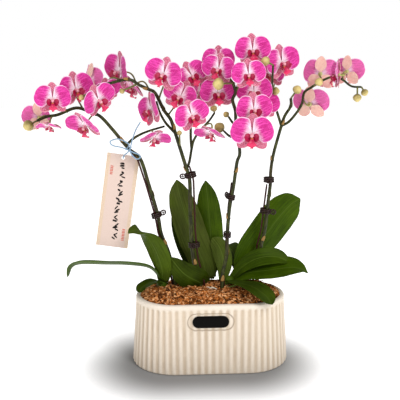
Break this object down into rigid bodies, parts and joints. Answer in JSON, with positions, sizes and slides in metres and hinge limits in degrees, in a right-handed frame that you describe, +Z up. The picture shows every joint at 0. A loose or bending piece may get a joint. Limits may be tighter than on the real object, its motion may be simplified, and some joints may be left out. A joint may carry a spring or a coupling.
{
  "type": "potted moth orchid arrangement",
  "caption": "Ribbed oval ceramic planter holding a group of moth orchids in bark, with arching flower spikes, strap leaves, stakes, clips and a hanging card tag.",
  "frame": {"origin": "middle of the planter's flat underside, on the surface it stands on", "axes": "+Z up, X along the planter's long side, -Y towards the label on the front"},
  "size_m": [0.4353, 0.1714, 0.425],
  "materials": {
    "ceramic": "matt, fine speckle, softly ribbed",
    "plate": "gloss black",
    "coir": "loose bark chips and coir, rough",
    "stem": "waxy living stem, green with darker buds and bracts",
    "leaf": "waxy living leaf, satin",
    "petal": "living petal, veined magenta with white throat",
    "stake": "dark red-brown coated wire",
    "clip": "dark brown moulded plastic",
    "card": "uncoated pale card",
    "cord": "thin twisted cord, pale blue"
  },
  "bodies": {
    "root": {"planter": "ceramic", "label_plate": "plate", "bloom_A": "petal", "bloom_B": "petal", "bloom_C": "petal", "bloom_D": "petal", "bloom_E": "petal", "bloom_F": "petal", "bloom_G": "petal", "bloom_H": "petal", "bloom_I": "petal", "bloom_J": "petal", "bloom_K": "petal", "bloom_L": "petal", "bloom_M": "petal", "bloom_M3": "petal", "bloom_Z": "petal", "bloom_O": "petal", "bloom_P": "petal", "bloom_Q": "petal", "bloom_R": "petal", "bloom_S": "petal", "bloom_T": "petal", "bloom_U": "petal", "bloom_U2": "petal", "bloom_V": "petal", "bloom_W": "petal", "bloom_W2": "petal", "bloom_X": "petal", "bloom_Y": "petal", "bloom_AA": "petal", "bloom_CC": "petal", "bloom_DD": "petal", "bloom_EE": "petal", "bloom_FF": "petal", "flower_spike_1": "stem", "flower_spike_2": "stem", "flower_spike_3": "stem", "flower_spike_4": "stem", "leafy_stem_1": "leaf", "leafy_stem_2": "leaf", "leafy_stem_3": "leaf", "leafy_stem_4": "leaf", "stake_1": "stake", "stake_2": "stake", "stake_3": "stake", "stake_4": "stake", "growing_medium": "coir", "clip_1": "clip", "clip_2": "clip", "clip_3": "clip", "clip_4": "clip", "clip_5": "clip", "clip_6": "clip", "clip_7": "clip", "hang_tag": "card", "tag_cord": "cord"}
  },
  "joints": []
}
